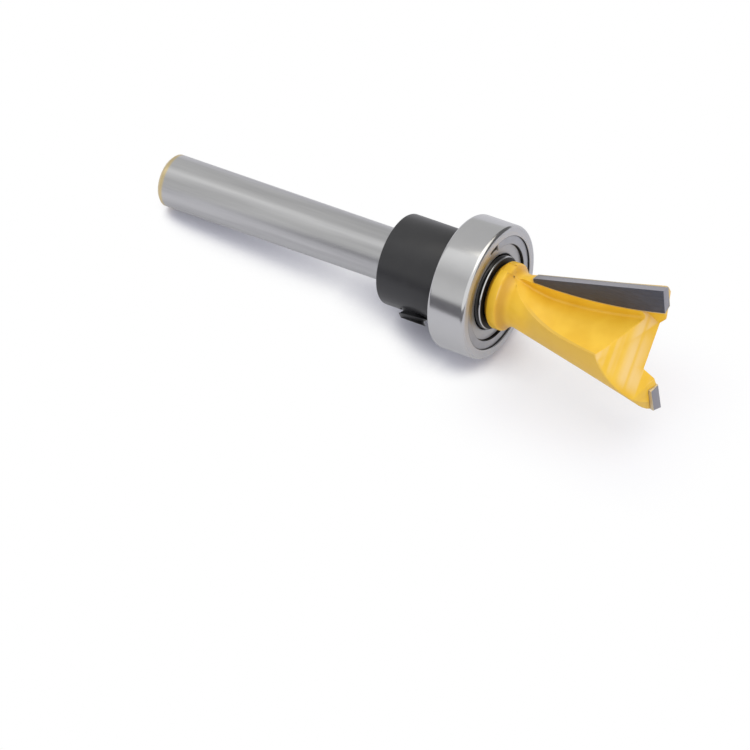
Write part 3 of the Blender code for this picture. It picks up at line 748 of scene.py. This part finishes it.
bpy.ops.mesh.remove_doubles(threshold=2 * MERGE_DISTANCE)
for height, keep_above in ((SCREW_LOW, True), (SCREW_HIGH, False)):
    bpy.ops.mesh.select_all(action="SELECT")
    bpy.ops.mesh.bisect(
        plane_co=(0, 0, height),
        plane_no=(0, 0, 1),
        use_fill=True,
        clear_inner=keep_above,
        clear_outer=not keep_above,
        threshold=MERGE_DISTANCE,
    )
close_up(screw)
settle(screw, screw_place)
bore(screw, SOCKET_RADIUS, 6, SCREW_HIGH - SOCKET_DEPTH)
shade(screw)
fit(screw, oxide, "cutter", "black_oxide", "set_screw")

# Floor: a white sweep that glows as white as the room behind it. Close to the tool its glow
# fades, so that the soft shadow of the lamp shows there, and under the raised head the shadow
# is paler.
FLOOR_SIZE = 1.2
FLOOR_DROP = 0.0001
FLOOR_COLOUR = (0.86, 0.86, 0.9, 1)
SHADOW_REACH = 8 * MM
OPEN_FLOOR = (0.38, 0.7)
WHITE = (1, 1, 1, 1)

# Borders of the paler shadow on the floor, in plain millimetres.
SHADE_REAR = (8.0, 18.0)
SHADE_FRONT = (44.0, 30.0)
SHADE_NEAR = (-17.0, -7.0)
SHADE_FAR = (14.0, 5.0)


def plain_card(name, size, place, turn, colour):
    """Flat sheet of the set, which isn't part of the object."""
    bpy.ops.object.select_all(action="DESELECT")
    bpy.ops.mesh.primitive_plane_add(size=1, location=place, rotation=turn)
    sheet = bpy.context.object
    sheet.name = name
    sheet.scale = size
    material, shader, surface = finish(
        name, Base_Color=colour, Roughness=0.9, Specular_IOR_Level=0.0
    )
    sheet.data.materials.append(material)
    return sheet, shader, surface


def ray_kinds(shader):
    """1 for rays that come from the camera, from a reflection and through glass."""
    names = ("Is Camera Ray", "Is Glossy Ray", "Is Transmission Ray")
    return [shader.node("LightPath", output=name) for name in names]


_, shader, surface = plain_card(
    "white_sweep", (FLOOR_SIZE, FLOOR_SIZE, 1), (0, 0, -FLOOR_DROP), (0, 0, 0), FLOOR_COLOUR
)
seen, glossy, clear = ray_kinds(shader)
glow = shader.node("Emission", None, {"Color": WHITE, "Strength": 1 - 0.4 * glossy})
open_sky = shader.node("AmbientOcclusion", {"samples": 16}, {"Distance": SHADOW_REACH}, "AO")
spot = shader.stretch(shader.node("TexCoord", output="Object"), (FLOOR_SIZE / MM,) * 3)
forward = shader.part(spot, 0)
sideways = shader.part(spot, 1)
under_head = shader.ramp(forward, *SHADE_REAR) * shader.ramp(forward, *SHADE_FRONT)
under_head = under_head * shader.ramp(sideways, *SHADE_NEAR) * shader.ramp(sideways, *SHADE_FAR)
glowing = shader.ramp(open_sky, *OPEN_FLOOR) * (1 - 0.35 * under_head)
share = seen * glowing + (glossy + clear) * 0.6
lit = Value(shader, surface.outputs[0])
mixed = shader.node("MixShader", None, {0: share, 1: lit, 2: glow})
shader.tree.links.new(mixed.socket, shader.tree.nodes["Material Output"].inputs["Surface"])

# Black card: a narrow strip in front of the tool, which only reflections see. It draws the
# dark line that polished steel shows along its lower half.
CARD_PLACE = (0.035, -0.045, 0.0075)
CARD_LENGTH = 0.172
CARD_HEIGHT = 0.015
CARD_COLOUR = (0.2, 0.2, 0.2, 1)

card, _, _ = plain_card(
    "black_card", (CARD_LENGTH, CARD_HEIGHT, 1), CARD_PLACE, (math.pi / 2, 0, 0), CARD_COLOUR
)
card.visible_camera = False
card.visible_diffuse = False
card.visible_shadow = False

# Room: plain and pale, and white where the camera sees it. Reflections see walls in greys that
# change round the tool's own axis, with a dark doorway and a bright window ahead of the tool.
# A place round the axis is counted in half turns: 0 lies behind the tool and 0.5 straight up.
WALLS = [
    (0.0, 0.58),
    (0.46, 0.62),
    (0.485, 1.0),
    (0.56, 0.92),
    (0.72, 0.6),
    (0.88, 0.72),
    (0.935, 0.74),
    (0.96, 0.3),
]
DOORWAY_START = (-0.25, -0.12)
DOORWAY_TOP = (0.34, 0.26)
DOORWAY_BOTTOM = (-0.08, -0.03)
DOORWAY_COLOUR = (0.15, 0.15, 0.15, 1)
WINDOW_START = (-0.2, -0.05)
WINDOW_ABOVE = (0.36, 0.42)
WINDOW_BELOW = (-0.75, -0.82)
ROOM_LIGHT = (0.77, 0.775, 0.86, 1)

world = bpy.data.worlds.new("studio")
world.use_nodes = True
bpy.context.scene.world = world
shader = Shader(world.node_tree)
seen, glossy, clear = ray_kinds(shader)
direction = shader.node("TexCoord", output="Generated")
high = shader.dot(direction, tool_turn.to_3x3() @ Vector((0, 0, 1)))
behind = shader.dot(direction, tool_turn.to_3x3() @ Vector((0, 1, 0)))
around = high.math("ARCTAN2", behind) / math.pi
stops = [(place, (grey, grey, grey)) for place, grey in WALLS]
room = shader.node("ValToRGB", {"stops": stops}, {0: around})
ahead = shader.dot(direction, along_axis)
doorway = shader.ramp(around, *DOORWAY_TOP) * shader.ramp(around, *DOORWAY_BOTTOM)
room = shader.blend(doorway * shader.ramp(ahead, *DOORWAY_START), room, DOORWAY_COLOUR)
window = shader.ramp(around, *WINDOW_ABOVE) + shader.ramp(around, *WINDOW_BELOW)
room = shader.blend(window * shader.ramp(ahead, *WINDOW_START), room, WHITE)
light = shader.blend(glossy, ROOM_LIGHT, room)
backdrop = world.node_tree.nodes["Background"]
colour = shader.blend(seen + clear, light, WHITE)
shader.tree.links.new(colour.socket, backdrop.inputs["Color"])

# Lamp: one broad softbox, high up and behind the tool, a little warmer than the room. It draws
# the soft shadow in front of the tool.
LAMP_WIDTH = 0.8
LAMP_PLACE = (0.12, 0.16, 0.68)
LAMP_POWER = 2.1
LAMP_COLOUR = (1.0, 0.96, 0.86)

lamp = bpy.data.lights.new("softbox", "AREA")
lamp.shape = "SQUARE"
lamp.size = LAMP_WIDTH
lamp.energy = LAMP_POWER
lamp.color = LAMP_COLOUR
softbox = bpy.data.objects.new("softbox", lamp)
softbox.location = LAMP_PLACE
softbox.rotation_euler = (-softbox.location).to_track_quat("-Z", "Y").to_euler()
bpy.context.scene.collection.objects.link(softbox)

# Camera: a long lens that looks down at the tool from one side and a little from the tip. It
# stands level but for a slight roll.
VIEW_AZIMUTH = -59.2608 * DEG
VIEW_ELEVATION = 47.9627 * DEG
VIEW_ROLL = 0.4504 * DEG
VIEW_DISTANCE = 0.86
VIEW_AIM = Vector((2.0, -12.1, 0.6)) * MM
FOCAL_LENGTH = 358.874
SENSOR_WIDTH = 36
NEAREST_SEEN = 0.01

lens = bpy.data.cameras.new("camera")
lens.lens = FOCAL_LENGTH
lens.sensor_width = SENSOR_WIDTH
lens.clip_start = NEAREST_SEEN
camera = bpy.data.objects.new("camera", lens)
viewpoint = Vector((
    math.cos(VIEW_ELEVATION) * math.cos(VIEW_AZIMUTH),
    math.cos(VIEW_ELEVATION) * math.sin(VIEW_AZIMUTH),
    math.sin(VIEW_ELEVATION),
))
camera.location = VIEW_AIM + viewpoint * VIEW_DISTANCE
level = viewpoint.to_track_quat("Z", "Y").to_matrix()
camera.rotation_euler = (level @ Matrix.Rotation(VIEW_ROLL, 3, "Z")).to_euler()
bpy.context.scene.collection.objects.link(camera)
bpy.context.scene.camera = camera

bpy.context.scene.view_settings.view_transform = "Standard"
